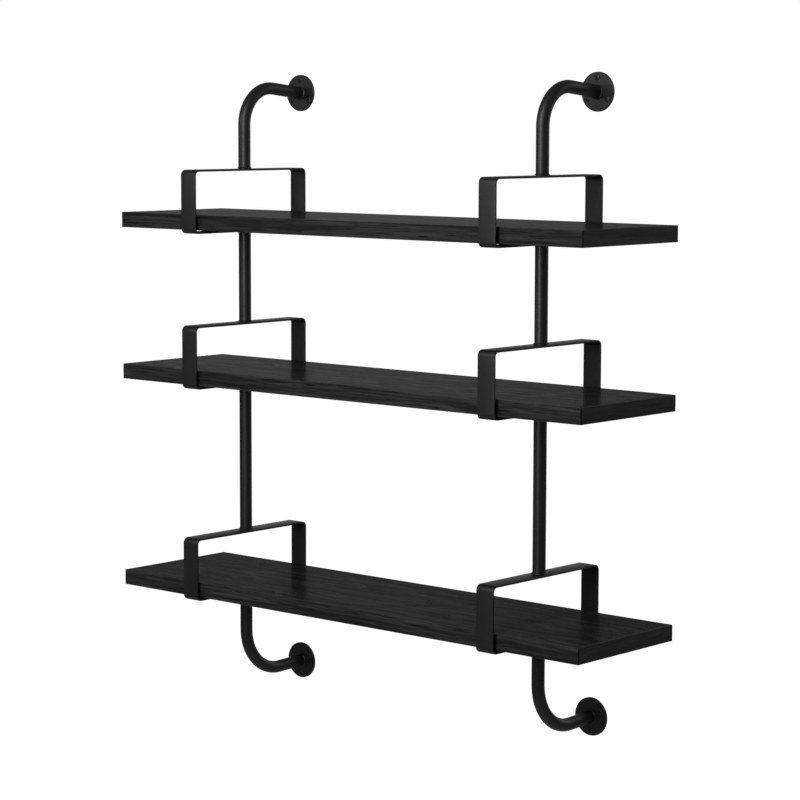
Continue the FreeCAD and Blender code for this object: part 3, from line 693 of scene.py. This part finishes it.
# %% [markdown]
# The arms meet their flanges at a slope of 6 degrees above and 2 below, so a bead there stands askew on the
# flange. It gets a longer foot, is turned to lie round the arm, and is cut off level with the flange.

# %% The beads on the flanges
SLOPES = {"upper": math.radians(-6), "lower": math.radians(2)}
FLANGE_LEVEL = {"upper": 480 * MM, "lower": -480 * MM}
FLANGE_FACE = -4 * MM
FOOT = 3 * MM

for end, slope in SLOPES.items():
    for side in SIDES:
        node = f"{end}_flange_weld_{side}"
        low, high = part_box(node)
        bead = weld_bead(f"weld_bead_{end}_{side}", FOOT)
        bead.rotation_euler = (QUARTER_TURN + slope, 0, 0)
        bead.location = ((low.x + high.x) / 2, FLANGE_FACE, FLANGE_LEVEL[end])
        settle(bead)
        bpy.ops.object.mode_set(mode="EDIT")
        bpy.ops.mesh.select_all(action="SELECT")
        bpy.ops.mesh.bisect(plane_co=(0, FLANGE_FACE, 0), plane_no=(0, 1, 0), clear_outer=True,
                            use_fill=True)
        bpy.ops.object.mode_set(mode="OBJECT")
        stand_for(bead, node, weld_coat)
print("Four beads on the flanges")

# %% [markdown]
# ## The screws
# A lathe turns a screw's blank from bar, and a punch sinks the cross for the screwdriver. Here the blank
# starts as a disc that is pulled up and scaled step by step along its profile, and the cross is cut out
# last. A profile is a row of pairs, a radius and a level in millimetres, and the head points up.

# %% Turning and punching a screw
CROSS_TAPER = 0.4
SCREW_SMOOTH_ANGLE = math.radians(30)


def turned_blank(name, profile):
    """A solid of revolution about Z. The profile is a row of pairs, a radius and a level in millimetres."""
    radius, level = profile[0]
    deselect_objects()
    bpy.ops.mesh.primitive_circle_add(vertices=40, radius=radius * MM, fill_type="NGON",
                                      location=(0, 0, level * MM))
    blank = bpy.context.object
    blank.name = name
    settle(blank)
    bpy.ops.object.mode_set(mode="EDIT")
    bpy.ops.mesh.select_all(action="SELECT")
    for new_radius, new_level in profile[1:]:
        grow = new_radius / radius
        rise = (new_level - level) * MM
        bpy.ops.mesh.extrude_region_move(TRANSFORM_OT_translate={"value": (0, 0, rise)})
        bpy.ops.transform.resize(value=(grow, grow, 1), center_override=(0, 0, new_level * MM))
        radius, level = new_radius, new_level
    bpy.ops.mesh.select_all(action="SELECT")
    bpy.ops.mesh.normals_make_consistent(inside=False)
    bpy.ops.object.mode_set(mode="OBJECT")
    return blank


def punch_cross(blank, length, width, floor, top):
    """Sinks a tapered cross into the blank's head, from the top level down to the floor level."""
    for turn in (0, QUARTER_TURN):
        deselect_objects()
        bpy.ops.mesh.primitive_cube_add(size=1, location=(0, 0, (top + floor) / 2), rotation=(0, 0, turn),
                                        scale=(length, width, top - floor))
        wedge = bpy.context.object
        settle(wedge)
        bpy.ops.object.mode_set(mode="EDIT")
        select_in_edit("FACE", lambda face: face.normal.z < -0.5)
        bpy.ops.transform.resize(value=(CROSS_TAPER, CROSS_TAPER, 1), center_override=(0, 0, floor))
        bpy.ops.object.mode_set(mode="OBJECT")
        apply_modifier(blank, "BOOLEAN", object=wedge, operation="DIFFERENCE", solver="EXACT")
        bpy.data.objects.remove(wedge)
    make_active(blank)
    bpy.ops.object.shade_smooth_by_angle(angle=SCREW_SMOOTH_ANGLE)


# %% [markdown]
# ## The board screws
# Each loop holds its board with two screws, driven up from below. The unit is looked at from just over the
# top loops, where a tall head would show as a bump under the strip, and none does. So it is a low, wide
# head, and this piece stands for the plain screws of the solid model. Its shank ends where theirs does.

# %% One board screw
BOARD_SCREW = ((0.6, -20.0), (2.0, -17.0), (2.0, 0.0), (4.0, 0.0),
               (4.0, 0.3), (3.7, 0.7), (2.9, 1.0), (1.6, 1.15))
BOARD_CROSS = {"length": 4.2 * MM, "width": 1.0 * MM, "floor": -0.8 * MM, "top": 1.6 * MM}

board_screw = turned_blank("board_screw", BOARD_SCREW)
punch_cross(board_screw, **BOARD_CROSS)
board_screw.rotation_euler = (HALF_TURN, 0, 0)
settle(board_screw)
print("A board screw has", len(board_screw.data.polygons), "faces")

# %% All the board screws
for board in BOARDS:
    node = f"board_screws_{board}"
    placed = []
    for side in SIDES:
        low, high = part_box(f"shelf_loop_{board}_{side}")
        centre = (low + high) / 2
        for way in (-1, 1):
            place = (centre.x, centre.y + way * HOLE_PITCH / 2, low.z)
            placed.append(copy_to(board_screw, f"low_head_screws_{board}", place))
    make_active(placed[0])
    for twin in placed[1:]:
        twin.select_set(True)
    bpy.ops.object.join()
    placed[0].name = f"low_head_screws_{board}"
    low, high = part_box(node)
    tip = max(vertex.co.z for vertex in placed[0].data.vertices)
    print(board, "screws end", round((high.z - tip) / MM, 3), "mm below the solid ones")
    stand_for(placed[0], node, zinc)
bpy.data.objects.remove(board_screw)
print("Twelve board screws in three pieces")

# %% [markdown]
# ## The wall screws
# The unit is shown on its wall, with a black raised-head screw in each of the twelve flange holes. The
# solid model keeps those holes free for whoever mounts it, so the screws are made here. Such a head is a
# cone that fits the countersink, with a shallow dome over it.

# %% One wall screw
WALL_SCREW = ((2.4, 0.1), (2.4, 1.45), (4.7, 3.75), (4.85, 4.0),
              (4.7, 4.35), (4.1, 4.8), (2.9, 5.2), (1.3, 5.4))
WALL_CROSS = {"length": 5.4 * MM, "width": 1.3 * MM, "floor": 3.2 * MM, "top": 6.0 * MM}

screw = turned_blank("wall_screw", WALL_SCREW)
punch_cross(screw, **WALL_CROSS)
print("A wall screw has", len(screw.data.polygons), "faces")

# %% [markdown]
# Black screws are phosphated and oiled. That gives a dark grey crystal skin, duller than paint and a little
# uneven. The crystals are finer than a hair, too fine to show, so they are drawn 15 to the centimetre.

# %% Phosphated steel
CRYSTAL_SIZE = 10 * MM / 15


def phosphated_steel():
    """Black phosphated steel: a dark grey skin of fine crystals, of uneven gloss."""
    material, tree, shader = new_material("black_phosphated_steel")
    place = add(tree, "ShaderNodeTexCoord").outputs["Object"]
    crystal = add(tree, "ShaderNodeTexNoise", Vector=place, Scale=1 / CRYSTAL_SIZE, Detail=2.0)
    colour = add(tree, "ShaderNodeMix", {"data_type": "RGBA"}, _0=crystal.outputs["Fac"],
                 _6=linear("#0d0d0d"), _7=linear("#171717"))
    gloss = add(tree, "ShaderNodeMapRange", Value=crystal.outputs["Fac"], To_Min=0.42, To_Max=0.52)
    bump = add(tree, "ShaderNodeBump", Height=crystal.outputs["Fac"], Strength=0.3, Distance=0.02 * MM)
    tree.links.new(colour.outputs[2], shader.inputs["Base Color"])
    tree.links.new(gloss.outputs[0], shader.inputs["Roughness"])
    tree.links.new(bump.outputs[0], shader.inputs["Normal"])
    return material


phosphate = phosphated_steel()
print("Screw finish:", phosphate.name)

# %% [markdown]
# Each flange has three holes on one circle. The upper flanges have one at the top, the lower ones one at
# the bottom. Nobody lines the crosses up when driving screws, so each screw is turned its own way.

# %% The twelve wall screws
HOLE_RING = 22 * MM
FIRST_HOLE = {"upper": math.radians(90), "lower": math.radians(270)}
FLANGE_SPREAD = {"left": -309 * MM, "right": 309 * MM}
HOLES_PER_FLANGE = 3
THIRD_TURN = math.radians(120)
CROSS_TURNS = (12, 71, 38, 55, 3, 64, 27, 80, 45, 19, 8, 60)

screws = []
for end in ENDS:
    for side in SIDES:
        for hole in range(HOLES_PER_FLANGE):
            angle = FIRST_HOLE[end] + hole * THIRD_TURN
            place = (FLANGE_SPREAD[side] + HOLE_RING * math.cos(angle), 0,
                     FLANGE_LEVEL[end] + HOLE_RING * math.sin(angle))
            make_active(screw)
            bpy.ops.object.duplicate(linked=False)
            twin = bpy.context.object
            twin.name = f"wall_screw_{end}_{side}_{hole + 1}"
            twin.rotation_euler = (0, 0, math.radians(CROSS_TURNS[len(screws)]))
            settle(twin)
            twin.rotation_euler = (QUARTER_TURN, 0, 0)
            twin.location = place
            settle(twin)
            twin.data.materials.append(phosphate)
            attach(twin, "root")
            screws.append(twin)
bpy.data.objects.remove(screw)
print(len(screws), "wall screws")
